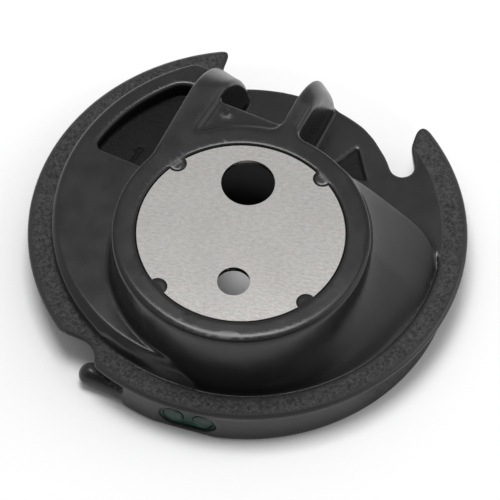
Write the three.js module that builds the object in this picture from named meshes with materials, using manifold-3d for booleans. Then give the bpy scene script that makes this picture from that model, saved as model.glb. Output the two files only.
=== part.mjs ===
// Bobbin case of a drop-in sewing hook, upside down: it stands on its rim with the steel plate up.
// Millimetres and degrees. The hook axis is the Z axis while the pieces are made; at the end the whole
// group is moved so that its origin is the middle of its footprint.
import * as THREE from "three";
import { mergeVertices } from "three/addons/utils/BufferGeometryUtils.js";
import Module from "manifold-3d";

// Overall
const caseHeight = 12.8; // rim face to the cup's end face
const hookRadius = 22; // outer radius of the race flange
const flangeTop = 4.5; // height of the flange face
const lipThickness = 0.65; // edge of the flange, and its wing
const webThickness = 1.45; // flange inside the race
const lipChamferWidth = 0.45;
const lipChamferDrop = 0.25;
const raceWidth = 2.5; // bearing face, from the flange's edge to the plateau

// Bobbin cup and its plate
const cupOffset = 5.9; // cup axis in front of the hook axis
const cupBore = 10.7;
const cupWall = 1.8;
const cupFloor = 0.6;
const ringRound = 0.7;
const plateRadius = 10.15;
const plateThickness = 0.4;
const plateRecess = 0.15;
const plateClearance = 0.1;
const bigHoleRadius = 2.65;
const bigHoleOffset = 5.8;
const smallHoleRadius = 1.6;
const smallHoleOffset = 5.7;
const stakeRadius = 0.85;
const stakeAngles = [45, 135, 225, 315];

// Needle side of the flange
const needleCut = 5.05; // how far the flange is cut back
const farOut = 12; // reach of the cutting outlines past the flange
const hornTipAngle = 40.3;
const wingTipAngle = 102;
const hookNotchRadius = 1.27;
const hookNotchAngle = 32.5;
const hookNotchInset = 4.75;
const wingEndAngle = 219.4;
const stopNotchAngle = 234.2;
const stopNotchDepth = 1.4;

// Plateau, pocket and rails. The rails run out at railAngle; S is along them and M to their left.
const plateauRise = 2;
const plateauEnd = 14.6;
// Its outer edge is bevelled. Between these angles the bevel and the side under it run in to the cup.
const bevelAngles = [95, 215, 232, 248, 260];
const bevelStarts = [0.2, 0.7, 0.9, 1.15, 1.5]; // in from the plateau's radius
const bevelEnds = [0.05, 0.1, 0.12, 0.78, 1.2];
const bevelDrops = [0.15, 0.7, 0.7, 0.95, 1.05];
const plateauSink = [258, 276]; // angles between which it runs down into the valley
const pocketInset = 2;
const pocketDepths = [1.3, 2.3]; // at its near end and its far end
const pocketEnd = 2.7; // from the plateau's square end
const pocketLength = 11;
const railAngle = 71.5;
const leftRail = { farM: 9.95, nearM: 7.55, flare: 1.5, rootS: -1.5 };
const rightRail = { farM: -0.04, nearM: -1.94, flare: 0, rootS: 3 };
// Each rail's end rounds over between crest and foot, at its left (far) and right (near) face.
const leftNose = { farCrest: 7.3, farFoot: 15.5, nearCrest: 9, nearFoot: 14, farSquare: 1.6, nearSquare: 1.7 };
const rightNose = { farCrest: 10.3, farFoot: 18, nearCrest: 10.5, nearFoot: 17, farSquare: 1.7, nearSquare: 1.2 };
const ledgeEnd = 7.7;
const ledgeDrop = 0.35;
const markSide = 4.1;
const markDepth = 0.3;
const markRadius = 12.7;
const markAngle = 42.5;
const markTurn = 48.7;

// Rim wall and bowl, on the rim axis
const rimOffset = 1.2; // rim axis in front of the hook axis
const rimInset = 0.1; // rim wall behind the flange's edge, in front
const rimWall = 2.7;
const rimAngles = [241, 345];
const bowlCorner = 3; // where its edge turns into the ridge
const valleyDrop = 0.6;
const ridgeY = 4.07; // where the ridge's wall crosses the Y axis
const ridgeAngle = -9.4;
const bossAngles = [244, 290];
const lugLength = 5;
const lugAngle = 236.5;
const lugRadius = 1.2;
const lugRise = 1.25;
const lugBend = 1.2; // how far its nose turns outwards

// Window, tension spring, screws and lacquer
const windowAngle = 260.7;
const windowMargin = 0.35; // round the screw heads
const windowZ = 1.9;
const facetAngle = 259.75; // flat on the rim wall, round the window
const facetSpan = 17.7;
const windowWall = 0.9;
const screwSpacing = 3.1;
const slotWidth = 0.6;
const slotAngles = [246, 290];
const springAngles = [248, 286];
const springHeight = 2.4;
const springThickness = 0.2;
const springGap = 0.1; // to the slot's inner face
const headRadius = 1;
const headHeight = 0.65;
const headGap = 0.1;
const driveSlotWidth = 0.3;
const driveSlotDepth = 0.25;
const shankRadius = 0.5;
const shankClearance = 0.08;
const shankLength = 2.3;
const insertRadius = 0.95;
const insertLength = 1.5;
const insertClearance = 0.06;
const lacquerThickness = 0.12;
const lacquerFill = 0.6; // lacquer between the heads and round them
const lacquerGap = 0.08;

const ringRadius = cupBore + cupWall;
const windowHeight = 2 * (headRadius + windowMargin);
const needleRadius = hookRadius - needleCut;
const plateauRadius = hookRadius - raceWidth;
const bowlRadius = plateauRadius - 0.05;
const rimRadius = hookRadius - rimInset - rimOffset;
const webBottom = flangeTop - webThickness;
const lipBottom = flangeTop - lipThickness;
const plateSeat = caseHeight - plateRecess - plateThickness;
const slotOuter = rimRadius - windowWall;
const slotInner = slotOuter - slotWidth;
const springInner = slotInner + springGap;
const springOuter = springInner + springThickness;
const overlap = 0.5; // how far joined solids run into each other
const wallReach = hookRadius - rimInset;

const wasm = await Module();
wasm.setup();

const radians = THREE.MathUtils.degToRad;

function at(radius, angle) {
  return new THREE.Vector2(radius * Math.cos(radians(angle)), radius * Math.sin(radians(angle)));
}

// Closed three.js geometry to a solid, and back.
function solid(geometry) {
  const bare = new THREE.BufferGeometry();
  bare.setAttribute("position", geometry.getAttribute("position"));
  bare.setIndex(geometry.getIndex());
  const merged = mergeVertices(bare, 1e-4);
  const vertProperties = new Float32Array(merged.getAttribute("position").array);
  const triVerts = new Uint32Array(merged.getIndex().array);
  return new wasm.Manifold(new wasm.Mesh({ numProp: 3, vertProperties, triVerts }));
}

function surface(body) {
  const mesh = body.getMesh();
  const geometry = new THREE.BufferGeometry();
  geometry.setAttribute("position", new THREE.BufferAttribute(mesh.vertProperties, 3));
  geometry.setIndex(new THREE.BufferAttribute(mesh.triVerts, 1));
  return geometry;
}

function prism(shape, bottom, top, curveSegments = 24) {
  const settings = { depth: top - bottom, bevelEnabled: false, curveSegments };
  return new THREE.ExtrudeGeometry(shape, settings).translate(0, 0, bottom);
}

function polygon(points) {
  return new THREE.Shape(points.map(([x, y]) => new THREE.Vector2(x, y)));
}

// A profile of [radius, z] points, turned round the Z axis.
function turned(profile, segments) {
  const points = profile.map(([radius, z]) => new THREE.Vector2(radius, z));
  return new THREE.LatheGeometry(points, segments).rotateX(Math.PI / 2);
}

function cylinder(radius, bottom, top, segments = 48) {
  const shape = new THREE.CylinderGeometry(radius, radius, top - bottom, segments);
  return shape.rotateX(Math.PI / 2).translate(0, 0, (top + bottom) / 2);
}

// A block whose corners place(u, v, w) puts anywhere: u runs outwards, v round and w up, all 0 to 1.
function bentBlock(radialSteps, roundSteps, place) {
  const block = new THREE.BoxGeometry(1, 1, 1, radialSteps, roundSteps, 1);
  const corners = block.getAttribute("position");
  for (let i = 0; i < corners.count; i += 1) {
    const [u, v, w] = [corners.getX(i) + 0.5, corners.getY(i) + 0.5, corners.getZ(i) + 0.5];
    corners.setXYZ(i, ...place(u, v, w));
  }
  return block;
}

// Part of a ring on the rim axis, between two angles and two heights.
function rimSector(inner, outer, [start, end], bottom, top, roundSteps = 24) {
  return bentBlock(1, roundSteps, (u, v, w) => {
    const point = at(THREE.MathUtils.lerp(inner, outer, u), THREE.MathUtils.lerp(start, end, v));
    return [point.x, point.y - rimOffset, THREE.MathUtils.lerp(bottom, top, w)];
  });
}

// Everything drawn along +X on the rim axis, turned to stand on the rim wall at an angle.
function onRim(geometry, angle) {
  return geometry.rotateZ(radians(angle)).translate(0, -rimOffset, 0);
}

function screwAngle(side) {
  const halfSpacing = THREE.MathUtils.radToDeg(screwSpacing / 2 / rimRadius);
  return windowAngle + side * halfSpacing;
}

// A turned piece whose own axis points outwards from the rim axis at the window's height.
function radialPiece(geometry, side) {
  return onRim(geometry.rotateY(Math.PI / 2).translate(0, 0, windowZ), screwAngle(side));
}

function flangeDisc() {
  const edge = hookRadius - lipChamferWidth;
  const raceStart = plateauRadius - raceWidth / 4;
  const profile = [
    [0, webBottom],
    [raceStart, webBottom],
    [raceStart + webThickness - lipThickness, lipBottom],
    [hookRadius, lipBottom],
    [hookRadius, flangeTop - lipChamferDrop],
    [edge, flangeTop],
    [0, flangeTop],
  ];
  return solid(turned(profile, 144));
}

function needleOutline() {
  const notch = at(hookRadius - hookNotchInset, hookNotchAngle);
  const shape = new THREE.Shape();
  const line = (radius, angle) => shape.lineTo(...at(radius, angle));
  shape.moveTo(...at(hookRadius + farOut, hornTipAngle));
  line(hookRadius - 0.1, hornTipAngle);
  line(hookRadius - 0.7, hornTipAngle + 1.6);
  line(hookRadius - 2.75, hornTipAngle - 2.6);
  line(hookRadius - 3.4, hornTipAngle - 7.7);
  shape.absarc(notch.x, notch.y, hookNotchRadius, radians(5), radians(185), true);
  line(needleRadius - 0.6, hookNotchAngle + 6.2);
  line(needleRadius - 0.2, hookNotchAngle + 14.4);
  shape.absarc(0, 0, needleRadius, radians(hookNotchAngle + 20), radians(wingTipAngle + 2), false);
  line(hookRadius - 2.3, wingTipAngle + 2.3);
  line(hookRadius - 1.1, wingTipAngle + 0.6);
  line(hookRadius - 0.5, wingTipAngle + 0.1);
  line(hookRadius, wingTipAngle + 1.3);
  line(hookRadius + farOut, wingTipAngle + 1.3);
  line(hookRadius + 3 * farOut, (hornTipAngle + wingTipAngle) / 2);
  return shape;
}

function stopNotchOutline() {
  const shape = new THREE.Shape();
  const middle = stopNotchAngle - 4;
  shape.moveTo(...at(hookRadius + farOut, wingEndAngle));
  shape.lineTo(...at(hookRadius, wingEndAngle));
  shape.lineTo(...at(hookRadius - 0.55, wingEndAngle + 3));
  shape.lineTo(...at(hookRadius - stopNotchDepth, wingEndAngle + 7.5));
  const bend = at(hookRadius - stopNotchDepth * 0.95, middle);
  shape.quadraticCurveTo(bend.x, bend.y, ...at(hookRadius - 0.45, stopNotchAngle - 1.2));
  shape.lineTo(...at(hookRadius, stopNotchAngle));
  shape.lineTo(...at(hookRadius + farOut, stopNotchAngle));
  return shape;
}

function cupShell() {
  const corner = [ringRadius - ringRound, caseHeight - ringRound];
  const edge = [0, 22.5, 45, 67.5, 90].map((angle) => at(ringRound, angle));
  const rounded = edge.map((point) => [corner[0] + point.x, corner[1] + point.y]);
  const profile = [[0, 0], [ringRadius, 0], ...rounded, [0, caseHeight]];
  return solid(turned(profile, 96).translate(0, -cupOffset, 0));
}

function cupHollow() {
  const seatRadius = plateRadius + plateClearance;
  const bore = solid(cylinder(cupBore, -1, plateSeat - cupFloor, 96));
  const recess = solid(cylinder(seatRadius, plateSeat, caseHeight + 1, 96));
  return bore.add(recess).add(plateHoles(plateClearance, plateSeat - cupFloor - 1, caseHeight)).translate([0, -cupOffset, 0]);
}

// The plate's two holes, on the cup axis, larger by a clearance.
function plateHoles(clearance, bottom, top) {
  const big = cylinder(bigHoleRadius + clearance, bottom, top).translate(0, bigHoleOffset, 0);
  const small = cylinder(smallHoleRadius + clearance, bottom, top, 32).translate(0, -smallHoleOffset, 0);
  return solid(big).add(solid(small));
}

// The four round stakes that hold the plate, or the notches that clear them.
function stakes(clearance, bottom, top) {
  const posts = stakeAngles.map((angle) => {
    const place = at(plateRadius, angle);
    return solid(cylinder(stakeRadius + clearance, bottom, top, 24).translate(place.x, place.y, 0));
  });
  return posts.reduce((all, post) => all.add(post));
}

// Distance from the cup axis to the bowl's edge, which is a circle on the hook axis.
function bowlReach(angle) {
  const along = cupOffset * Math.sin(radians(angle));
  return along + Math.sqrt(along ** 2 + bowlRadius ** 2 - cupOffset ** 2);
}

// The bowl's outline: its edge in front, then a round corner, then the ridge or a line ahead of it.
function bowlOutline(ahead) {
  const ridge = at(ridgeY * Math.cos(radians(ridgeAngle)) - ahead, ridgeAngle + 90);
  const run = Math.sqrt((bowlRadius - bowlCorner) ** 2 - (ridge.length() - bowlCorner) ** 2);
  const corner = ridge.clone().setLength(ridge.length() - bowlCorner).add(at(run, ridgeAngle));
  const shape = new THREE.Shape();
  shape.absarc(0, 0, bowlRadius, -Math.PI, corner.angle() - 2 * Math.PI, false);
  shape.absarc(corner.x, corner.y, bowlCorner, corner.angle() - 2 * Math.PI, radians(ridgeAngle + 90), false);
  shape.lineTo(...ridge.sub(at(bowlRadius, ridgeAngle)));
  return shape;
}

// The concave skirt that runs from the cup's end face down into the valley: steep in front, a ramp
// on the right.
function bowlSkirt() {
  const buried = flangeTop - valleyDrop - overlap / 10;
  const top = caseHeight - ringRound;
  const inner = ringRadius - overlap;
  const block = bentBlock(10, 40, (u, v, w) => {
    const angle = THREE.MathUtils.lerp(-150, 60, v);
    const outer = bowlReach(angle);
    const fromRing = THREE.MathUtils.clamp((u * (outer - inner) - overlap) / (outer - ringRadius), 0, 1);
    const squareness = THREE.MathUtils.mapLinear(THREE.MathUtils.clamp(angle, -90, 25), -90, 25, 2.2, 1.1);
    const fall = (1 - (1 - fromRing) ** squareness) ** (1 / squareness);
    const point = at(THREE.MathUtils.lerp(inner, outer, u), angle);
    const height = THREE.MathUtils.lerp(top, buried, fall);
    return [point.x, point.y - cupOffset, THREE.MathUtils.lerp(webBottom, height, w)];
  });
  return solid(block).intersect(solid(prism(bowlOutline(0), webBottom - 1, caseHeight + 1, 60)));
}

function valleyCut() {
  return solid(prism(bowlOutline(overlap), flangeTop - valleyDrop, caseHeight, 60));
}

// A box in the rails' frame, from [S, M, Z] to [S, M, Z].
function railBox(low, high) {
  const size = high.map((value, axis) => value - low[axis]);
  const middle = high.map((value, axis) => (value + low[axis]) / 2);
  return solid(new THREE.BoxGeometry(...size).translate(...middle).rotateZ(radians(railAngle)));
}

// One of the bevel's sizes at an angle round the hook axis.
function alongBevel(sizes, angle) {
  const next = bevelAngles.findIndex((place) => place > angle);
  if (next < 0) return sizes.at(-1);
  const share = THREE.MathUtils.inverseLerp(bevelAngles[next - 1], bevelAngles[next], angle);
  return THREE.MathUtils.lerp(sizes[next - 1], sizes[next], share);
}

function plateau() {
  const [sinkStart, sinkEnd] = plateauSink;
  const low = flangeTop - valleyDrop - overlap / 10;
  const block = bentBlock(3, 60, (u, v, w) => {
    const angle = THREE.MathUtils.lerp(bevelAngles[0], sinkEnd + 1, v);
    const step = Math.round(u * 3);
    const insets = [plateauRadius + cupOffset - ringRadius, alongBevel(bevelStarts, angle), alongBevel(bevelEnds, angle), 0];
    const drop = alongBevel(bevelDrops, angle);
    const rise = [plateauRise, plateauRise, plateauRise - drop, bevelAngles[2] > angle ? plateauRise - drop : 0];
    const height = THREE.MathUtils.lerp(flangeTop + rise[step], low, THREE.MathUtils.smoothstep(angle, sinkStart, sinkEnd));
    const point = at(plateauRadius - insets[step], angle);
    return [point.x, point.y, THREE.MathUtils.lerp(webBottom, height, w)];
  });
  const reach = 2 * hookRadius;
  const beside = railBox([-reach, leftRail.nearM + overlap, 0], [plateauEnd, reach, caseHeight]);
  const front = railBox([-reach, -hookRadius, 0], [-cupOffset, reach, caseHeight]);
  return solid(block).intersect(beside.add(front));
}

// A pocket beside the left rail, whose floor slopes down towards its far end.
function pocket() {
  const outer = plateauRadius - pocketInset;
  const top = flangeTop + plateauRise;
  const disc = solid(cylinder(outer, 0, caseHeight, 96));
  const farS = plateauEnd - pocketEnd;
  const nearS = farS - pocketLength;
  const floor = [[nearS, top - pocketDepths[0]], [farS, top - pocketDepths[1]]];
  const ramp = polygon([...floor, [farS, caseHeight], [nearS, caseHeight]]);
  const [lowM, highM] = [leftRail.farM, hookRadius];
  const wedge = prism(ramp, 0, highM - lowM).rotateX(Math.PI / 2).translate(0, highM, 0);
  return solid(wedge.rotateZ(radians(railAngle))).intersect(disc);
}

// A thread rail: a wall along S from inside the cup to the needle side's edge, whose end rounds over.
function rail({ farM, nearM, flare, rootS }, nose) {
  const reach = needleRadius;
  const { lerp, clamp } = THREE.MathUtils;
  const block = bentBlock(20, 4, (u, v, w) => {
    const s = lerp(rootS, reach, u);
    const near = nearM - flare * clamp((s - rootS) / (reach - rootS), 0, 1);
    const crest = lerp(nose.nearCrest, nose.farCrest, v);
    const foot = lerp(nose.nearFoot, nose.farFoot, v);
    const square = lerp(nose.nearSquare, nose.farSquare, v);
    const along = clamp((s - crest) / (foot - crest), 0, 1);
    const share = (1 - along ** square) ** (1 / square);
    const top = lerp(webBottom + overlap, caseHeight, share);
    return [s, lerp(near, farM, v), lerp(webBottom, top, w)];
  });
  return solid(block.rotateZ(radians(railAngle)));
}

function rails() {
  const edge = solid(cylinder(needleRadius, 0, caseHeight, 96));
  const ledge = railBox(
    [rightRail.rootS, rightRail.farM - overlap, webBottom],
    [ledgeEnd, leftRail.nearM + overlap, caseHeight - ledgeDrop],
  );
  return rail(leftRail, leftNose).add(rail(rightRail, rightNose)).intersect(edge).add(ledge);
}

// A shallow triangular mark on the flange, beside the cup.
function triangleMark() {
  const place = at(markRadius, markAngle);
  const mark = cylinder(markSide / Math.sqrt(3), flangeTop - markDepth, flangeTop + 1, 3);
  return solid(mark.rotateZ(radians(markTurn)).translate(place.x, place.y, 0));
}

function rimSkirt() {
  const wall = solid(rimSector(rimRadius - rimWall, rimRadius, rimAngles, 0, lipBottom + lipThickness / 2, 36));
  const boss = solid(rimSector(cupBore, rimRadius - overlap, bossAngles, 0, webBottom + overlap));
  const ribs = rimAngles.map((angle, side) => {
    const inward = side === 0 ? [angle, angle + 3] : [angle - 3, angle];
    return solid(rimSector(cupBore, rimRadius - overlap, inward, 0, webBottom + overlap, 2));
  });
  return ribs.reduce((all, rib) => all.add(rib), wall.add(boss));
}

// The round-nosed stop that reaches past the rim wall's left end and turns outwards.
function stopLug() {
  const finger = new THREE.CapsuleGeometry(lugRadius, lugLength, 5, 16, 6);
  const corners = finger.getAttribute("position");
  for (let i = 0; i < corners.count; i += 1) {
    const along = corners.getY(i) / rimRadius;
    const out = lugBend * THREE.MathUtils.clamp(0.5 - corners.getY(i) / lugLength, 0, 1) ** 2;
    const place = at(rimRadius - lugRadius + out + corners.getX(i), lugAngle + THREE.MathUtils.radToDeg(along));
    corners.setXYZ(i, place.x, place.y - rimOffset, lugRise + corners.getZ(i));
  }
  return solid(finger);
}

// A plug of the window's oblong shape, between two distances from the rim axis.
function windowPlug(inset, start, end) {
  const half = windowHeight / 2 - inset;
  const shape = new THREE.Shape();
  shape.absarc(screwSpacing / 2, 0, half, -Math.PI / 2, Math.PI / 2, false);
  shape.absarc(-screwSpacing / 2, 0, half, Math.PI / 2, 1.5 * Math.PI, false);
  const plug = prism(shape, 0, end - start, 10).rotateX(Math.PI / 2).rotateZ(Math.PI / 2);
  return solid(onRim(plug.translate(start, 0, windowZ), windowAngle));
}

// The flat on the rim wall.
function facetCut() {
  const reach = rimRadius * Math.cos(radians(facetSpan / 2));
  const box = new THREE.BoxGeometry(wallReach, 2 * wallReach, 2 * lipBottom);
  return solid(onRim(box.translate(reach + wallReach / 2, 0, 0), facetAngle));
}

function springSlot() {
  const top = windowZ + springHeight / 2 + springGap;
  return solid(rimSector(slotInner, slotOuter, slotAngles, -1, top, 24));
}

function insertSeats() {
  return [-1, 1]
    .map((side) => {
      const radius = insertRadius + insertClearance;
      const end = slotInner - insertLength - insertClearance;
      return solid(radialPiece(cylinder(radius, end, slotInner + springGap / 2, 20), side));
    })
    .reduce((all, seat) => all.add(seat));
}

function caseBody() {
  const flange = flangeDisc()
    .subtract(solid(prism(needleOutline(), 0, caseHeight)))
    .subtract(solid(prism(stopNotchOutline(), 0, caseHeight, 12)));
  const upper = flange
    .subtract(valleyCut())
    .add(plateau().subtract(pocket()))
    .add(cupShell())
    .add(bowlSkirt())
    .add(rails());
  const lower = rimSkirt()
    .subtract(facetCut())
    .add(stopLug())
    .subtract(windowPlug(0, (slotInner + slotOuter) / 2, rimRadius + 1))
    .subtract(springSlot())
    .subtract(insertSeats());
  const posts = stakes(0, plateSeat - cupFloor, caseHeight - plateRecess).translate([0, -cupOffset, 0]);
  return upper.add(lower).subtract(cupHollow()).add(posts).subtract(triangleMark());
}

function basePlate() {
  const disc = solid(cylinder(plateRadius, plateSeat, plateSeat + plateThickness, 96));
  return disc
    .subtract(plateHoles(0, plateSeat - 1, caseHeight + 1))
    .subtract(stakes(plateClearance, plateSeat - 1, caseHeight + 1))
    .translate([0, -cupOffset, 0]);
}

// The spring's leaf, with a hole for each screw.
function tensionSpring() {
  const [low, high] = [windowZ - springHeight / 2, windowZ + springHeight / 2];
  const leaf = solid(rimSector(springInner, springOuter, springAngles, low, high, 30));
  const holes = [-1, 1].map((side) =>
    solid(radialPiece(cylinder(shankRadius + shankClearance, slotInner, slotOuter, 20), side)),
  );
  return leaf.subtract(holes[0]).subtract(holes[1]);
}

// A cheese-head screw. Its head stands clear of the leaf, and its shank ends inside its bush.
function screw(side) {
  const headBottom = springOuter + headGap;
  const shank = solid(cylinder(shankRadius, slotInner + springGap - shankLength / 2, headBottom + headHeight / 2, 16));
  const head = solid(cylinder(headRadius, headBottom, headBottom + headHeight, 32));
  const slot = new THREE.BoxGeometry(driveSlotWidth, 4 * headRadius, driveSlotDepth * 2);
  const cut = solid(slot.translate(0, 0, headBottom + headHeight));
  return solid(radialPiece(surface(head.add(shank).subtract(cut)), side));
}

function insert(side) {
  const bush = solid(cylinder(insertRadius, slotInner - insertLength, slotInner, 20));
  const bore = solid(cylinder(shankRadius + shankClearance, slotInner - insertLength - 1, slotInner + 1, 20));
  return solid(radialPiece(surface(bush.subtract(bore)), side));
}

// Lacquer on the leaf, filling the window between the two heads and round them.
function windowLacquer() {
  const bottom = springOuter + lacquerGap / 2;
  const clear = [-1, 1].map((side) =>
    solid(radialPiece(cylinder(headRadius + lacquerGap, slotInner, rimRadius, 32), side)),
  );
  return windowPlug(lacquerGap, bottom, bottom + lacquerFill).subtract(clear[0]).subtract(clear[1]);
}

// Lacquer over a screw's head, domed.
function headLacquer(side) {
  const bottom = springOuter + headGap + headHeight;
  const profile = [
    [0, bottom],
    [headRadius, bottom],
    [headRadius * 0.8, bottom + lacquerThickness * 0.7],
    [0, bottom + lacquerThickness],
  ];
  return solid(radialPiece(turned(profile, 24), side));
}

const finishes = {
  blackPlastic: new THREE.MeshStandardMaterial({ color: 0x343436, roughness: 0.45, metalness: 0 }),
  satinSteel: new THREE.MeshStandardMaterial({ color: 0xbebab4, roughness: 0.35, metalness: 1 }),
  springSteel: new THREE.MeshStandardMaterial({ color: 0x8f9194, roughness: 0.3, metalness: 1 }),
  screwSteel: new THREE.MeshStandardMaterial({ color: 0xa0a2a4, roughness: 0.3, metalness: 1 }),
  brass: new THREE.MeshStandardMaterial({ color: 0xb08d4a, roughness: 0.35, metalness: 1 }),
  greenLacquer: new THREE.MeshStandardMaterial({ color: 0x0a2d26, roughness: 0.15, metalness: 0 }),
};

const group = new THREE.Group();

function addPiece(name, body, material) {
  const mesh = new THREE.Mesh(surface(body), material);
  mesh.name = name;
  group.add(mesh);
}

addPiece("case_body", caseBody(), finishes.blackPlastic);
addPiece("base_plate", basePlate(), finishes.satinSteel);
addPiece("tension_spring", tensionSpring(), finishes.springSteel);
addPiece("fixing_screw", screw(-1), finishes.screwSteel);
addPiece("adjusting_screw", screw(1), finishes.screwSteel);
addPiece("fixing_insert", insert(-1), finishes.brass);
addPiece("adjusting_insert", insert(1), finishes.brass);
addPiece("window_lacquer", windowLacquer(), finishes.greenLacquer);
addPiece("fixing_screw_lacquer", headLacquer(-1), finishes.greenLacquer);
addPiece("adjusting_screw_lacquer", headLacquer(1), finishes.greenLacquer);

const footprint = new THREE.Box3().setFromObject(group);
const middle = footprint.getCenter(new THREE.Vector3());
group.position.set(-middle.x, -middle.y, -footprint.min.z);

export default group;
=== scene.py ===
# Bobbin case, upside down on a pale floor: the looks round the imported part.
# The case is worked out in millimetres round the hook's axis, then set down on the frame in metres.
import math

import bpy
import numpy as np
import openvdb
from mathutils import Matrix, Vector


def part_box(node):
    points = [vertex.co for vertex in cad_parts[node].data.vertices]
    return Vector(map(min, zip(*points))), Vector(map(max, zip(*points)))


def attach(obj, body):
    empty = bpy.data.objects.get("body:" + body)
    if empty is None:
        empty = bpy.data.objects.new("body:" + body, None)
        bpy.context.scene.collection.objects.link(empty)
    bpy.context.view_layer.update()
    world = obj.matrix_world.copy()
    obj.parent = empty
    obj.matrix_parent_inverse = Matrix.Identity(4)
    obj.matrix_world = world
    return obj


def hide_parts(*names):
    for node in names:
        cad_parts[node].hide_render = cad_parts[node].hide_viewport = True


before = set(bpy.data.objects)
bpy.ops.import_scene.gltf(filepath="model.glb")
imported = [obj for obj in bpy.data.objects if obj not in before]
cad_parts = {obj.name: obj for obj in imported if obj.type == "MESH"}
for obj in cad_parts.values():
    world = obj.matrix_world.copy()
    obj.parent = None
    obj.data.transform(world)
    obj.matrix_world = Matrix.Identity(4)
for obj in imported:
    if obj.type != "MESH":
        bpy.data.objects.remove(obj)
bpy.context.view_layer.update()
millimetre = 0.001

mouldGrid = {
    "voxel": 0.125,
    "reach": 22.7,  # half the width of the block that is worked out
    "low": -0.6,
    "high": 13.3,
    "band": 0.6,  # distances further off than this are cut short
    "adaptivity": 0.012,
    "softening": 2,  # passes that take the last sharpness off every edge
}

casePart = {
    "height": 12.8,
    "flangeRadius": 22.0,
    "flangeTop": 4.5,
    "webBottom": 3.05,
    "lipBottom": 3.85,
    "lipStart": 18.875,
    "lipChamferStart": 21.55,
    "lipChamferDrop": 0.25,
    "edgeRound": 0.12,
}

cup = {
    "offset": 5.9,  # its axis in front of the hook's
    "outer": 12.5,
    "bore": 10.7,
    "floorTop": 12.25,
    "floor": 0.6,
    "edgeRound": ((0, 0.3), (60, 0.35), (150, 0.35), (200, 0.5),
                  (235, 0.7), (290, 0.7), (340, 0.4), (360, 0.3)),  # by the angle round it
    "recess": 10.25,
    "footRound": 0.45,
}

plateHoles = {
    "big": (5.8, 2.75),  # along Y from the cup's axis, and radius
    "small": (-5.7, 1.7),
    "stakeCircle": 10.15,
    "stakeRadius": 0.93,
    "stakeAngles": (45, 135, 225, 315),
    "stakeTop": 12.65,
}

voxel = mouldGrid["voxel"]
xAxis = np.arange(-mouldGrid["reach"], mouldGrid["reach"], voxel, dtype=np.float32)
zAxis = np.arange(mouldGrid["low"], mouldGrid["high"], voxel, dtype=np.float32)
x, y = np.meshgrid(xAxis, xAxis, indexing="ij")
z = zAxis[None, None, :]


def joined(a, b, fillet=0.0):
    # the nearer of two shapes, with a fillet of that radius where they meet
    if isinstance(fillet, float) and not fillet:
        return np.minimum(a, b)
    near = np.hypot(np.maximum(fillet - a, 0), np.maximum(fillet - b, 0))
    return np.maximum(fillet, np.minimum(a, b)) - near


def common(a, b, rounding=0.0):
    return -joined(-a, -b, rounding)


def without(a, b, rounding=0.0):
    return common(a, -b, rounding)


def upright(flat):
    return flat[:, :, None]


def ramped(value, start, end):
    share = np.clip((value - start) / (end - start), 0, 1)
    return share * share * (3 - 2 * share)


def onCircle(radius, degrees, centre=(0.0, 0.0)):
    angle = math.radians(degrees)
    return (centre[0] + radius * math.cos(angle), centre[1] + radius * math.sin(angle))


def arc(centre, radius, start, end, steps):
    return [onCircle(radius, angle, centre) for angle in np.linspace(start, end, steps)]


def segment(start, end):
    # flat distance to a straight line between two points
    (ax, ay), (bx, by) = start, end
    ex, ey = bx - ax, by - ay
    share = np.clip(((x - ax) * ex + (y - ay) * ey) / (ex * ex + ey * ey), 0, 1)
    return np.hypot(x - ax - share * ex, y - ay - share * ey)


def outlined(points):
    # signed distance to a closed outline, less than nothing inside it
    corners = np.array(points, dtype=np.float32)
    nearest = np.full(x.shape, 1e9, dtype=np.float32)
    inside = np.zeros(x.shape, dtype=bool)
    for start, end in zip(corners, np.roll(corners, -1, axis=0)):
        nearest = np.minimum(nearest, segment(start, end))
        (ax, ay), (bx, by) = start, end
        if ay != by:
            inside ^= ((ay > y) != (by > y)) & (x < (bx - ax) * (y - ay) / (by - ay) + ax)
    return np.where(inside, -1, 1) * nearest


def softened(flat, passes):
    # takes the corners off a flat outline
    for _ in range(passes):
        for axis in (0, 1):
            ahead, behind = np.roll(flat, 1, axis), np.roll(flat, -1, axis)
            flat = (ahead + 2 * flat + behind) / 4
    return flat


def underSurface(height):
    # distance to the ground under a hilly surface, whose slope is allowed for
    alongX, alongY = np.gradient(height, voxel)
    steepness = np.sqrt(1 + alongX ** 2 + alongY ** 2)
    return (z - upright(height)) / upright(steepness)


radius = np.hypot(x, y)
angle = np.degrees(np.arctan2(y, x)) % 360
cupRadius = np.hypot(x, y + cup["offset"])
cupAngle = np.degrees(np.arctan2(y + cup["offset"], x)) % 360

needleSide = {
    "cutRadius": 16.95,
    "notchRadius": 1.27,
    "notchAt": (17.25, 32.5),
    "hornTip": 40.3,
    "wingTip": 102,
    "wingEnd": 219.4,
    "stopNotch": 234.2,
    "stopNotchDepth": 1.4,
    "tipRounding": 10,
}


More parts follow.
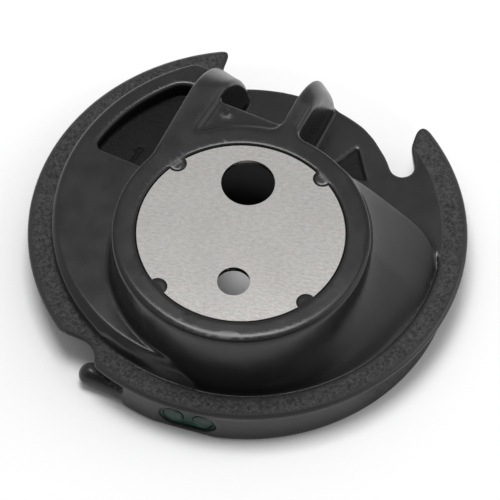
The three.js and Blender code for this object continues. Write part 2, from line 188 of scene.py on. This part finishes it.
def needleOutline():
    edge, tip, wing = casePart["flangeRadius"], needleSide["hornTip"], needleSide["wingTip"]
    notchAngle = needleSide["notchAt"][1]
    cut = needleSide["cutRadius"]
    notch = onCircle(*needleSide["notchAt"])
    return [
        onCircle(edge + 12, tip),
        onCircle(edge + 0.3, tip),
        onCircle(edge - 0.55, tip + 1.5),
        onCircle(edge - 1.2, tip + 1.1),
        onCircle(edge - 2.75, tip - 2.6),
        onCircle(edge - 3.4, tip - 7.7),
        *arc(notch, needleSide["notchRadius"], 5, -175, 16),
        onCircle(cut - 0.6, notchAngle + 6.2),
        onCircle(cut - 0.2, notchAngle + 14.4),
        *arc((0, 0), cut, notchAngle + 20, wing + 2, 30),
        onCircle(edge - 2.3, wing + 2.3),
        onCircle(edge - 1.1, wing + 0.6),
        onCircle(edge - 0.5, wing + 0.1),
        onCircle(edge + 0.2, wing + 0.9),
        onCircle(edge + 12, wing + 1.3),
        onCircle(edge + 36, (tip + wing) / 2),
    ]


def stopNotchOutline():
    edge, depth = casePart["flangeRadius"], needleSide["stopNotchDepth"]
    start, end = needleSide["wingEnd"], needleSide["stopNotch"]
    return [
        onCircle(edge + 12, start),
        onCircle(edge + 0.2, start),
        onCircle(edge - 0.55, start + 3),
        onCircle(edge - depth * 0.95, start + 7),
        onCircle(edge - depth, start + 8.6),
        onCircle(edge - depth * 0.95, start + 10.3),
        onCircle(edge - depth * 0.75, start + 12),
        onCircle(edge - 0.45, end - 1.2),
        onCircle(edge + 0.2, end),
        onCircle(edge + 12, end),
    ]


def flange():
    flat = radius - casePart["flangeRadius"]
    for cut in (needleOutline(), stopNotchOutline()):
        flat = without(flat, outlined(cut))
    flat = upright(softened(flat, needleSide["tipRounding"]))
    top = z - casePart["flangeTop"]
    drop = casePart["lipChamferDrop"]
    run = casePart["flangeRadius"] - casePart["lipChamferStart"]
    slope = math.hypot(drop, run)
    chamfer = upright((radius - casePart["lipChamferStart"]) * drop / slope) + top * run / slope
    cone = (upright(radius - casePart["lipStart"]) - (z - casePart["webBottom"])) / math.sqrt(2)
    web = common(casePart["webBottom"] - z, cone)
    under = joined(web, casePart["lipBottom"] - z)
    body = common(flat, common(top, chamfer), casePart["edgeRound"])
    return common(body, under, casePart["edgeRound"])


bowl = {
    "edge": 19.45,
    "corner": 3.0,  # radius where its edge turns into the ridge
    "floor": 3.9,
    "start": 12.5,
    "ridge": (0.163, 0.987, 4.07),
    "ridgeRound": 0.22,
    "edgeRound": 0.25,
    # how square its side falls, by the angle round the cup
    "squareness": ((0, 1.1), (25, 1.05), (60, 1.1), (120, 3), (150, 4), (195, 3), (215, 4),
                   (238, 5), (250, 3), (262, 2.2), (285, 2.1), (320, 1.7), (360, 1.1)),
}

plateau = {
    "rise": 2.0,
    "outer": 19.5,
    "squareEnd": 14.6,
    "edgeRound": 0.1,
    "footRound": 0.2,
    # round the hook: the bevel's start and end in from the edge, its drop, and how far all of it sinks
    "bevelStart": ((95, 0.2), (190, 0.45), (215, 0.7), (232, 0.9), (248, 1.15), (260, 1.5)),
    "bevelEnd": ((95, 0.05), (215, 0.1), (232, 0.12), (240, 0.45), (248, 0.78), (260, 1.2)),
    "bevelDrop": ((95, 0.15), (190, 0.4), (215, 0.65), (232, 0.7), (248, 0.95), (260, 1.05)),
    "sink": ((256, 0), (261, 0.25), (267, 1.2), (276, 2.7)),
}

railLine = {"angle": 71.5}
# across and along the rails; each pair is at the near face and the far face
leftRail = {
    "far": 9.95,
    "near": 7.55,
    "flare": 1.5,
    "root": -6.0,
    "crest": (9.2, 7.6),
    "foot": (14.1, 15.7),
    "square": (1.7, 1.65),
    "round": (0.6, 0.15),
}
rightRail = {
    "far": -0.04,
    "near": -1.94,
    "flare": 0.0,
    "root": 3.0,
    "crest": (10.8, 10.6),
    "foot": (17.2, 18.2),
    "square": (1.5, 1.9),
    "round": (0.7, 0.2),
}

turn = math.radians(railLine["angle"])
alongRail = x * math.cos(turn) + y * math.sin(turn)
acrossRail = -x * math.sin(turn) + y * math.cos(turn)
rimOffset = 1.2  # the rim's axis in front of the hook's
rimRadius = np.hypot(x, y + rimOffset)
rimAngle = np.degrees(np.arctan2(y + rimOffset, x)) % 360


def laidOut(pairs, value):
    places, sizes = zip(*pairs)
    return np.interp(value, places, sizes).astype(np.float32)


def aheadOfRidge():
    acrossX, acrossY, place = bowl["ridge"]
    return (x * acrossX + (y - place) * acrossY).astype(np.float32)


def bowlReach():
    # from the cup's axis to the bowl's edge, which is a circle on the hook's axis
    along = cup["offset"] * np.sin(np.radians(cupAngle))
    return along + np.sqrt(along ** 2 + bowl["edge"] ** 2 - cup["offset"] ** 2)


def bowlSkirt():
    out = np.clip((cupRadius - bowl["start"]) / (bowlReach() - bowl["start"]), 0, 1)
    squareness = laidOut(bowl["squareness"], cupAngle)
    fall = (1 - (1 - out) ** squareness) ** (1 / squareness)
    top, buried = casePart["height"] - cupEdgeRound(), bowl["floor"] - 0.05
    skirt = underSurface(top + (buried - top) * fall)
    outline = upright(common(radius - bowl["edge"], aheadOfRidge(), bowl["corner"]))
    return common(common(skirt, casePart["webBottom"] - z), outline, bowl["ridgeRound"])


def plateauBody():
    inward = plateau["outer"] - radius
    start, end = laidOut(plateau["bevelStart"], angle), laidOut(plateau["bevelEnd"], angle)
    drop = laidOut(plateau["bevelDrop"], angle)
    bevel = np.clip((start - inward) / (start - end), 0, 1) * drop
    side = np.clip((end - inward) / end, 0, 1) * (plateau["rise"] + 0.6 - drop)
    side = side * ramped(angle, 228, 234)
    height = casePart["flangeTop"] + plateau["rise"] - bevel - side - laidOut(plateau["sink"], angle)
    beside = np.maximum(leftRail["near"] + 0.5 - acrossRail, alongRail - plateau["squareEnd"])
    front = alongRail + cup["offset"]
    across = upright(np.minimum(beside, front).astype(np.float32))
    sides = common(common(upright(-inward), across, 0.3), casePart["webBottom"] - z)
    return common(underSurface(height), sides, plateau["edgeRound"])


pocketCut = {
    "outer": 17.5,
    "farEnd": 11.9,
    "length": 11.0,
    "depths": (1.3, 2.3),  # at its near end and its far end
    "corner": 0.8,
    "floorRound": 0.35,
}


def pocketFloor():
    share = np.clip((alongRail - pocketCut["farEnd"]) / pocketCut["length"] + 1, 0, 1)
    near, far = pocketCut["depths"]
    return casePart["flangeTop"] + plateau["rise"] - near - (far - near) * share


def pocketPlan():
    nearEnd = pocketCut["farEnd"] - pocketCut["length"]
    sides = common(radius - pocketCut["outer"], alongRail - pocketCut["farEnd"], pocketCut["corner"])
    sides = common(sides, leftRail["far"] - acrossRail, 0.5)
    return common(sides, nearEnd - alongRail, pocketCut["corner"])


def pocket():
    return common(upright(pocketPlan()), -underSurface(pocketFloor()), pocketCut["floorRound"])


def railPlan(rail):
    reach = needleSide["cutRadius"]
    share = np.clip((alongRail + 1.5) / (reach + 1.5), 0, 1)
    near = rail["near"] - rail["flare"] * share
    sides = np.maximum(acrossRail - rail["far"], near - acrossRail)
    sides = np.maximum(sides, rail["root"] - alongRail)
    return np.maximum(sides, radius - reach), near


def cupEdgeRound():
    return laidOut(cup["edgeRound"], cupAngle)


def railTop(rail, near):
    # its end rounds over between crest and foot, not alike at its two faces
    side = np.clip((acrossRail - near) / (rail["far"] - near), 0, 1)
    crest = rail["crest"][0] + (rail["crest"][1] - rail["crest"][0]) * side
    foot = rail["foot"][0] + (rail["foot"][1] - rail["foot"][0]) * side
    square = rail["square"][0] + (rail["square"][1] - rail["square"][0]) * side
    along = np.maximum((alongRail - crest) / (foot - crest), 0)
    base = casePart["webBottom"] + 0.5
    tall = casePart["height"] - base
    up = np.maximum((z - base) / tall, 0)
    p, along3 = upright(square), upright(along)
    full = np.maximum((along3 ** p + up ** p) ** (1 / p), 1e-3)
    slopeAlong = full ** (1 - p) * along3 ** (p - 1) / upright(foot - crest)
    slopeUp = full ** (1 - p) * up ** (p - 1) / tall
    steepness = np.sqrt(slopeAlong ** 2 + slopeUp ** 2)
    near, far = rail["round"]
    onCup = ramped(cupRadius, 13.4, 12.4)
    rounding = upright((near + (far - near) * side) * (1 - onCup) + cupEdgeRound() * onCup)
    return (full - 1) / np.maximum(steepness, 1 / tall), rounding


railShape = {
    "leftCorner": 0.3,
    "rightCorner": 1.0,
    "ledgeTop": 12.45,
    "ledgeEnd": 7.7,
    "ledgeFillet": 0.4,
}


def cupAndRails():
    cupPlan = cupRadius - cup["outer"]
    leftPlan, leftNear = railPlan(leftRail)
    rightPlan, rightNear = railPlan(rightRail)
    low = casePart["webBottom"] - z
    cupSolid = common(upright(cupPlan), z - casePart["height"], upright(cupEdgeRound()))
    body = common(cupSolid, -z)
    plan = joined(cupPlan, leftPlan, railShape["leftCorner"])
    left = common(upright(plan), *railTop(leftRail, leftNear))
    left = common(left, upright(4 - acrossRail))
    plan = joined(cupPlan, rightPlan, railShape["rightCorner"])
    right = common(upright(plan), *railTop(rightRail, rightNear))
    right = common(right, upright(np.maximum(acrossRail - 4, -3.6 - acrossRail)))
    rails = common(joined(left, right), low)
    ledge = np.maximum(rightRail["far"] - 0.5 - acrossRail, acrossRail - leftRail["near"] - 0.3)
    ledge = np.maximum(ledge, np.maximum(alongRail - railShape["ledgeEnd"], 3 - alongRail))
    ledge = np.maximum(ledge, 12.2 - cupRadius)
    ledge = common(common(upright(ledge), z - railShape["ledgeTop"], 0.15), low)
    return joined(joined(body, rails), ledge, railShape["ledgeFillet"])


rim = {
    "outer": 20.7,
    "wall": 2.7,
    "angles": (241, 345),
    "boss": (244, 290),
    "edgeRound": 0.2,
    "windowAngle": 260.7,
    "windowHeight": 2.7,
    "windowZ": 1.9,
    "spacing": 3.1,
    "windowWall": 0.9,
    "slot": 0.6,
    "slotAngles": (246, 290),
    "facet": (259.75, 20.454),  # angle, and distance from the rim's axis
    "lug": {"length": 5.0, "angle": 236.5, "radius": 1.2, "rise": 1.25, "bend": 1.2},
}


def sector(inner, outer, angles, low, high):
    start, end = angles
    middle, half = (start + end) / 2, (end - start) / 2
    swing = np.radians(np.abs((rimAngle - middle + 180) % 360 - 180) - half) * rimRadius
    flat = np.maximum(np.maximum(rimRadius - outer, inner - rimRadius), swing)
    return common(upright(flat.astype(np.float32)), np.maximum(z - high, low - z), rim["edgeRound"])


def rimWall():
    outer, top = rim["outer"], casePart["lipBottom"] + 0.06
    wall = sector(outer - rim["wall"], outer, rim["angles"], 0, top)
    outX, outY = onCircle(1, rim["facet"][0])
    facet = x * outX + (y + rimOffset) * outY - rim["facet"][1]
    wall = common(wall, upright(facet.astype(np.float32)))
    bossTop = casePart["webBottom"] + 0.5
    boss = sector(cup["bore"], outer - 0.5, rim["boss"], 0, bossTop)
    for start in (rim["angles"][0], rim["angles"][1] - 3):
        boss = joined(boss, sector(cup["bore"], outer - 0.5, (start, start + 3), 0, bossTop))
    return joined(wall, boss)


def stopLug():
    lug = rim["lug"]
    along = np.radians(rimAngle - lug["angle"]) * rim["outer"]
    bend = lug["bend"] * np.clip(0.5 - along / lug["length"], 0, 1) ** 2
    across = rimRadius - (rim["outer"] - lug["radius"] + bend)
    past = np.maximum(np.abs(along) - lug["length"] / 2, 0)
    flat = np.hypot(across, past).astype(np.float32)
    return np.hypot(upright(flat), z - lug["rise"]) - lug["radius"]


def windowCut():
    along = np.radians(rimAngle - rim["windowAngle"]) * rim["outer"]
    past = np.maximum(np.abs(along) - rim["spacing"] / 2, 0).astype(np.float32)
    opening = np.hypot(upright(past), z - rim["windowZ"]) - rim["windowHeight"] / 2
    slotOuter = rim["outer"] - rim["windowWall"]
    depth = slotOuter - rim["slot"] / 2 - rimRadius
    return common(opening, upright(depth.astype(np.float32)))


def springSlot():
    outer = rim["outer"] - rim["windowWall"]
    top = rim["windowZ"] + 1.3
    return sector(outer - rim["slot"], outer, rim["slotAngles"], -2, top)


def insertSeats():
    seats = None
    for side in (-1, 1):
        where = rim["windowAngle"] + side * math.degrees(rim["spacing"] / 2 / rim["outer"])
        outX, outY = onCircle(1, where)
        along = x * outX + (y + rimOffset) * outY
        across = -x * outY + (y + rimOffset) * outX
        inner = rim["outer"] - rim["windowWall"] - rim["slot"]
        flat = np.maximum(inner - 1.56 - along, along - inner - 0.1)
        bore = np.hypot(upright(across), z - rim["windowZ"]) - 1.01
        seat = common(bore, upright(flat))
        seats = seat if seats is None else joined(seats, seat)
    return seats


def holesThrough(grow=0.0):
    cuts = None
    for place, size in (plateHoles["big"], plateHoles["small"]):
        cut = np.hypot(x, y + cup["offset"] - place) - size - grow
        cuts = cut if cuts is None else np.minimum(cuts, cut)
    return cuts


def cupHollow():
    under = cup["floorTop"] - cup["floor"]
    bore = common(upright(cupRadius - cup["bore"]), z - under, 0.3)
    seat = common(upright(cupRadius - cup["recess"]), cup["floorTop"] - z)
    return joined(joined(bore, seat), upright(holesThrough()))


def stakeHeads():
    heads = None
    for where in plateHoles["stakeAngles"]:
        px, py = onCircle(plateHoles["stakeCircle"], where, (0, -cup["offset"]))
        head = np.hypot(x - px, y - py) - plateHoles["stakeRadius"]
        heads = head if heads is None else np.minimum(heads, head)
    low = cup["floorTop"] - cup["floor"] - z
    return common(common(upright(heads), z - plateHoles["stakeTop"] - 0.05, 0.05), low)


triangle = {"side": 4.1, "depth": 0.3, "at": (12.7, 42.5), "turn": 78}


def triangleFlat():
    centre = onCircle(*triangle["at"])
    size = triangle["side"] / math.sqrt(3)
    return outlined([onCircle(size, triangle["turn"] + step, centre) for step in (0, 120, 240)])


def triangleMark():
    return common(upright(triangleFlat()), casePart["flangeTop"] - triangle["depth"] - z)


marks = {
    "stroke": ((-12.55, 5.9), (-11.7, 7.9), (-12.3, 7.5)),
    "strokeWidth": 0.14,
    "strokeDepth": 0.3,
    "curl": ((-3.2, 8.25), 0.45),
    "curlWidth": 0.1,
    "curlRise": 0.1,
}


def mouldMarks(body):
    # an engraved stroke with a flick on the pocket's ramp, and a raised curl on the ledge
    foot, head, flick = marks["stroke"]
    line = np.minimum(segment(foot, head), segment(head, flick)) - marks["strokeWidth"]
    body = without(body, common(upright(line), -underSurface(pocketFloor() - marks["strokeDepth"])))
    (cx, cy), size = marks["curl"]
    opened = (cx - x) * 0.6 + (y - cy) * 0.8 - 0.25
    ring = np.maximum(np.abs(np.hypot(x - cx, y - cy) - size), opened) - marks["curlWidth"]
    top = railShape["ledgeTop"] + marks["curlRise"]
    return joined(body, common(upright(ring.astype(np.float32)), np.maximum(z - top, top - 1 - z)), 0.05)


def mouldedCase():
    body = flange()
    valley = common(radius - bowl["edge"], aheadOfRidge() + 0.5, bowl["corner"])
    body = without(body, common(upright(valley), bowl["floor"] - z), bowl["edgeRound"])
    print("case: flange")
    body = joined(body, without(plateauBody(), pocket(), 0.25), plateau["footRound"])
    body = joined(body, bowlSkirt())
    print("case: plateau and bowl")
    body = joined(body, cupAndRails(), cup["footRound"])
    print("case: cup and rails")
    body = joined(body, rimWall())
    body = joined(body, stopLug(), 0.2)
    body = np.maximum(body, np.maximum(z - casePart["height"], -z))  # nothing past its top or its open end
    body = without(body, windowCut(), 0.12)
    body = without(without(body, springSlot()), insertSeats())
    print("case: rim")
    body = without(body, cupHollow())
    body = joined(body, stakeHeads())
    return mouldMarks(without(body, triangleMark(), 0.05))


def softenedSolid(body, passes):
    for _ in range(passes):
        for axis in (0, 1, 2):
            body = (np.roll(body, 1, axis) + 2 * body + np.roll(body, -1, axis)) / 4
    return body


gridCorner = np.array([xAxis[0], xAxis[0], zAxis[0]])


def sampled(values, points):
    # the worked-out values at any point, blended from the eight round it
    inGrid = (points - gridCorner) / voxel
    corner = np.clip(np.floor(inGrid).astype(int), 1, np.array(values.shape) - 3)
    share = inGrid - corner
    blended = np.zeros(len(points))
    for step in np.ndindex(2, 2, 2):
        weight = np.prod(np.abs(1 - np.array(step) - share), axis=1)
        blended += weight * values[tuple((corner + step).T)]
    return blended


def surfaceNormals(body, points):
    # the way out of the solid at each point
    normals = np.stack([sampled(np.gradient(body, axis=axis), points) for axis in (0, 1, 2)], axis=1)
    return normals / np.maximum(np.linalg.norm(normals, axis=1, keepdims=True), 1e-9)


def paintedHighlightShare(body, points):
    # how sharply the surface turns outwards at each point, 0 to 1, outside the ring: where a highlight is
    # painted lighter on the plastic's edges
    bend = np.zeros(body.shape, dtype=np.float32)
    for axis in (0, 1, 2):
        bend += np.roll(body, 1, axis) + np.roll(body, -1, axis) - 2 * body
    bend = sampled(softenedSolid(bend / voxel ** 2, 2), points)
    outside = ramped(np.hypot(points[:, 0], points[:, 1] + cup["offset"]), 12.6, 13.3)
    return np.clip((bend - 0.9) / 2.2, 0, 1) * outside


def dullShare(points):
    # the pocket's floor and the triangle are left grainy
    i, j = np.clip(np.rint((points[:, :2] - xAxis[0]) / voxel).astype(int), 0, len(xAxis) - 1).T
    inPocket = (pocketPlan()[i, j] < 0) & (points[:, 2] < pocketFloor()[i, j] + 0.3)
    inTriangle = (triangleFlat()[i, j] < 0.05) & (points[:, 2] < casePart["flangeTop"] - 0.08)
    onFront = (points[:, 2] > 3) & (points[:, 2] < 7)
    return ((inPocket | inTriangle) & onFront).astype(float)


plateLow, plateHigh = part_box("base_plate")
hookAxis = Vector((
    (plateLow[0] + plateHigh[0]) / 2,
    (plateLow[1] + plateHigh[1]) / 2 + cup["offset"] * millimetre,
    plateHigh[2] - plateHoles["stakeTop"] * millimetre,
))


def meshFromSolid(name, body):
    band = mouldGrid["band"]
    grid = openvdb.FloatGrid(band)
    grid.copyFromArray(np.clip(body, -band, band).astype(np.float32), tolerance=1e-4)
    points, triangles, quads = grid.convertToPolygons(isovalue=0.0, adaptivity=mouldGrid["adaptivity"])
    points = points.astype(np.float64) * voxel + gridCorner
    normals = surfaceNormals(body, points)
    faces = [tuple(face) for face in triangles] + [tuple(face) for face in quads]
    mesh = bpy.data.meshes.new(name)
    mesh.from_pydata((points * millimetre).tolist(), [], faces)
    mesh.update()
    middle = np.zeros(len(mesh.polygons) * 3)
    mesh.polygons.foreach_get("normal", middle)
    first = np.array([face[0] for face in faces])
    if np.sum(middle.reshape(-1, 3) * normals[first]) < 0:
        mesh.flip_normals()
    mesh.shade_smooth()
    mesh.normals_split_custom_set_from_vertices(normals.tolist())
    # the edge attribute carries the share of the painted edge highlight; the dull one marks the grainy
    # floor and triangle
    for field, shares in (("edge", paintedHighlightShare(body, points)), ("dull", dullShare(points))):
        made = mesh.attributes.new(field, "FLOAT", "POINT")
        made.data.foreach_set("value", shares.astype(np.float32))
    piece = bpy.data.objects.new(name, mesh)
    mesh.transform(Matrix.Translation(hookAxis))
    bpy.context.scene.collection.objects.link(piece)
    return piece


solidCase = softenedSolid(mouldedCase(), mouldGrid["softening"])
case = meshFromSolid("moulded_case", solidCase)
print("case:", len(case.data.polygons), "faces")
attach(case, "case")
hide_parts("case_body")


def finish(name, **settings):
    # a material, its nodes and its shader
    material = bpy.data.materials.new(name)
    material.use_nodes = True
    tree = material.node_tree
    made = {"material": material, "tree": tree, "shader": tree.nodes["Principled BSDF"]}
    for socket, value in settings.items():
        made["shader"].inputs[socket.replace("_", " ")].default_value = value
    made["place"] = added(made, "ShaderNodeTexCoord").outputs["Object"]
    return made


def wired(made, socket, value):
    # a link into a socket, or a plain value in it
    if isinstance(value, bpy.types.NodeSocket):
        made["tree"].links.new(value, socket)
    else:
        socket.default_value = value


def added(made, kind, inputs=None, **settings):
    node = made["tree"].nodes.new(kind)
    for name, value in settings.items():
        setattr(node, name, value)
    for socket, value in (inputs or {}).items():
        wired(made, node.inputs[socket], value)
    return node


def reckoned(made, operation, first, last):
    return added(made, "ShaderNodeMath", {0: first, 1: last}, operation=operation).outputs[0]


def noise(made, scale, detail=2.0, along=(1, 1, 1), roughness=0.5):
    # its scale is in millimetres, stretched along the axes
    stretch = [share / millimetre for share in along]
    place = added(made, "ShaderNodeMapping", {"Vector": made["place"], "Scale": stretch}).outputs[0]
    settings = {"Vector": place, "Scale": scale, "Detail": detail, "Roughness": roughness}
    return added(made, "ShaderNodeTexNoise", settings).outputs["Fac"]


def between(made, value, low, high, first, last):
    settings = {"Value": value, "From Min": low, "From Max": high, "To Min": first, "To Max": last}
    return added(made, "ShaderNodeMapRange", settings, interpolation_type="SMOOTHSTEP").outputs["Result"]


def mixed(made, share, first, last):
    return added(made, "ShaderNodeMix", {0: share, 6: first, 7: last}, data_type="RGBA").outputs[2]


def bumped(made, height, distance, strength, under=None):
    settings = {"Height": height, "Distance": distance, "Strength": strength}
    if under is not None:
        settings["Normal"] = under
    return added(made, "ShaderNodeBump", settings).outputs["Normal"]


def dressed(made, **links):
    for socket, value in links.items():
        wired(made, made["shader"].inputs[socket.replace("_", " ")], value)
    return made["material"]


def grey(level, warm=0.0):
    return (level * (1 + warm), level, level * (1 - warm), 1)


plastic = {
    "base": 0.0095,
    "race": 0.042,
    "fleck": 0.07,
    # the colour of the highlight painted on outward-turning edges
    "edge": 0.03,
    "rough": 0.24,
    "raceRough": 0.2,  # what the race and the pocket's floor have more
    "shine": 0.36,
    "raceShine": 0.1,
    "raceInner": (0.0193, 0.0196),  # metres from the hook's axis, where the race's grain starts
    "raceOuter": (0.02155, 0.0217),
    "raceTop": (0.0048, 0.0052),
}


def mouldedPlastic():
    made = finish("moulded_black_plastic")
    inPart = added(made, "ShaderNodeVectorMath", {0: made["place"], 1: hookAxis[:]}, operation="SUBTRACT")
    inPart = inPart.outputs["Vector"]
    flat = added(made, "ShaderNodeVectorMath", {0: inPart, 1: (1, 1, 0)}, operation="MULTIPLY")
    away = added(made, "ShaderNodeVectorMath", {0: flat.outputs["Vector"]}, operation="LENGTH")
    away = away.outputs["Value"]
    height = added(made, "ShaderNodeSeparateXYZ", {0: inPart}).outputs["Z"]
    low = between(made, height, *plastic["raceTop"], 1.0, 0.0)
    within = between(made, away, *plastic["raceOuter"], 1.0, 0.0)
    beyond = between(made, away, *plastic["raceInner"], 0.0, 1.0)
    race = reckoned(made, "MULTIPLY", reckoned(made, "MULTIPLY", beyond, low), within)
    dull = added(made, "ShaderNodeAttribute", attribute_name="dull").outputs["Fac"]
    # the painted edge highlight, kept off the grainy pocket floor and triangle
    edge = added(made, "ShaderNodeAttribute", attribute_name="edge").outputs["Fac"]
    edge = reckoned(made, "MULTIPLY", edge, reckoned(made, "SUBTRACT", 1.0, dull))
    cloud = noise(made, 0.35, 3)
    fine = noise(made, 7, 3, roughness=0.7)
    coarse = between(made, noise(made, 3.2, 4, roughness=0.75), 0.3, 0.7, 0.0, 1.0)
    fleck = between(made, noise(made, 4.5, 1, roughness=0.4), 0.64, 0.74, 0.0, 0.6)
    tone = mixed(made, cloud, grey(plastic["base"] * 0.9), grey(plastic["base"] * 1.1))
    raceTone = mixed(made, coarse, grey(plastic["race"] * 0.3), grey(plastic["race"] * 1.7))
    raceTone = mixed(made, fleck, raceTone, grey(plastic["fleck"]))
    colour = mixed(made, race, tone, raceTone)
    # lighter where the edges turn outwards: a painted highlight
    colour = mixed(made, edge, colour, grey(plastic["edge"]))
    rough = between(made, cloud, 0.3, 0.7, plastic["rough"] - 0.03, plastic["rough"] + 0.03)
    rough = reckoned(made, "ADD", rough, reckoned(made, "MULTIPLY", race, plastic["raceRough"]))
    rough = reckoned(made, "ADD", rough, reckoned(made, "MULTIPLY", dull, plastic["raceRough"]))
    grainy = reckoned(made, "MAXIMUM", race, dull)
    loss = reckoned(made, "MULTIPLY", grainy, plastic["shine"] - plastic["raceShine"])
    shine = reckoned(made, "SUBTRACT", plastic["shine"], loss)
    surface = bumped(made, fine, 0.000012, 0.35)
    grain = reckoned(made, "MULTIPLY", coarse, grainy)
    surface = bumped(made, grain, 0.00004, 0.7, surface)
    return dressed(made, Base_Color=colour, Roughness=rough, Specular_IOR_Level=shine, Normal=surface)


def satinSteel(name, level, roughness, warm=0.0, grain=0.05):
    made = finish(name, Metallic=1.0)
    cloud = noise(made, 0.25, 3)
    strokes = noise(made, 3, 3, along=(0.6, 1.4, 1), roughness=0.65)
    speck = noise(made, 9, 2, roughness=0.6)
    both = reckoned(made, "MULTIPLY", reckoned(made, "ADD", strokes, speck), 0.5)
    share = between(made, both, 0.35, 0.65, 0.0, 1.0)
    colour = mixed(made, share, grey(level * (1 - grain), warm), grey(level * (1 + grain), warm))
    rough = between(made, cloud, 0.3, 0.7, roughness - 0.005, roughness + 0.005)
    return dressed(made, Base_Color=colour, Roughness=rough)


def lacquer():
    made = finish("green_lacquer", Roughness=0.3, Specular_IOR_Level=0.4)
    cloud = between(made, noise(made, 1.4, 3), 0.35, 0.65, 0.0, 1.0)
    colour = mixed(made, cloud, (0.0012, 0.014, 0.01, 1), (0.005, 0.052, 0.036, 1))
    return dressed(made, Base_Color=colour, Normal=bumped(made, noise(made, 1.1, 2), 0.00012, 0.6))


def dress(node, material):
    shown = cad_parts[node]
    shown.data.materials.clear()
    shown.data.materials.append(material)
    return shown


case.data.materials.append(mouldedPlastic())
plate = dress("base_plate", satinSteel("satin_plate", 0.67, 0.14, 0.03, 0.13))
dress("tension_spring", satinSteel("spring_steel", 0.42, 0.28))
screwFinish = satinSteel("screw_steel", 0.5, 0.25)
for node in ("fixing_screw", "adjusting_screw"):
    dress(node, screwFinish)
brass = satinSteel("brass_insert", 0.5, 0.3, 0.3)
for node in ("fixing_insert", "adjusting_insert"):
    dress(node, brass)
green = lacquer()
for node in ("window_lacquer", "fixing_screw_lacquer", "adjusting_screw_lacquer"):
    dress(node, green)
print("finishes: done")

edgeBevel = plate.modifiers.new("rolled edge", "BEVEL")
edgeBevel.width = 0.00006
edgeBevel.segments = 2
edgeBevel.limit_method = "ANGLE"

studio = {
    "focal": 267.07,
    "distance": 0.370,
    "down": 56.981,
    "turned": 6.437,
    "roll": 0.673,
    "shift": (0.0046, -0.0456),
}

lights = {
    "room": 0.55,
    "paintedFloorGlow": 0.04,  # painted light: the floor glows round the part to lift its shadow, and not under it
    "paintedGlowFrom": (0.0225, 0.0245),
    "dark": 0.35,
    "darkTowards": (0.0, -0.72, 0.69),
    "overhead": ((-0.03, 0.07, 0.45), (0.20, 0.20), 1.4),
    "fill": ((0.30, 0.05, 0.22), (0.25, 0.25), 0.25),
}


def floor():
    size = 3.0
    mesh = bpy.data.meshes.new("floor")
    corners = [(-size, -size, 0), (size, -size, 0), (size, size, 0), (-size, size, 0)]
    mesh.from_pydata(corners, [], [(0, 1, 2, 3)])
    made = finish("pale_floor", Roughness=0.9, Specular_IOR_Level=0.1, Emission_Color=(1, 1, 1, 1))
    away = added(made, "ShaderNodeVectorMath", {0: made["place"]}, operation="LENGTH").outputs["Value"]
    # painted light: the floor's emission fills the shadow round the part, from these radii outwards
    paintedGlow = between(made, away, *lights["paintedGlowFrom"], 0.0, lights["paintedFloorGlow"])
    colour = mixed(made, noise(made, 0.01), grey(0.84), grey(0.88))
    mesh.materials.append(dressed(made, Base_Color=colour, Emission_Strength=paintedGlow))
    piece = bpy.data.objects.new("floor", mesh)
    bpy.context.scene.collection.objects.link(piece)


def softbox(name, place, size, power, aim=(0, 0, 0)):
    light = bpy.data.lights.new(name, "AREA")
    light.shape = "RECTANGLE"
    light.size, light.size_y = size
    light.energy = power
    lamp = bpy.data.objects.new(name, light)
    lamp.location = place
    facing = Vector(aim) - Vector(place)
    lamp.rotation_euler = facing.to_track_quat("-Z", "Y").to_euler()
    bpy.context.scene.collection.objects.link(lamp)


def camera():
    down, turned = math.radians(studio["down"]), math.radians(studio["turned"])
    level = math.cos(down)
    ahead = Vector((-level * math.sin(turned), level * math.cos(turned), -math.sin(down)))
    right = Vector((math.cos(turned), math.sin(turned), 0))
    up = right.cross(ahead)
    roll = math.radians(studio["roll"])
    right, up = right * math.cos(roll) + up * math.sin(roll), up * math.cos(roll) - right * math.sin(roll)
    aim = hookAxis + Vector((0, 0, casePart["flangeTop"] * millimetre))
    lens = bpy.data.cameras.new("camera")
    lens.lens, lens.sensor_width = studio["focal"], 36
    lens.shift_x, lens.shift_y = studio["shift"]
    lens.clip_start = 0.01
    piece = bpy.data.objects.new("camera", lens)
    facing = Matrix((right, up, -ahead)).transposed().to_4x4()
    piece.matrix_world = Matrix.Translation(aim - ahead * studio["distance"]) @ facing
    bpy.context.scene.collection.objects.link(piece)
    bpy.context.scene.camera = piece


def room():
    # a pale room, darker up in front
    world = bpy.data.worlds.new("studio")
    world.use_nodes = True
    made = {"tree": world.node_tree}
    background = world.node_tree.nodes["Background"]
    outwards = added(made, "ShaderNodeTexCoord").outputs["Generated"]
    both = {0: outwards, 1: lights["darkTowards"]}
    front = added(made, "ShaderNodeVectorMath", both, operation="DOT_PRODUCT")
    share = between(made, front.outputs["Value"], 0.55, 0.95, 0.0, 1.0)
    wired(made, background.inputs["Color"], mixed(made, share, grey(1.0), grey(lights["dark"])))
    background.inputs["Strength"].default_value = lights["room"]
    bpy.context.scene.world = world
    bpy.context.scene.view_settings.view_transform = "Standard"


floor()
softbox("overhead", *lights["overhead"])
softbox("right fill", *lights["fill"])
camera()
room()

print("stage: done")
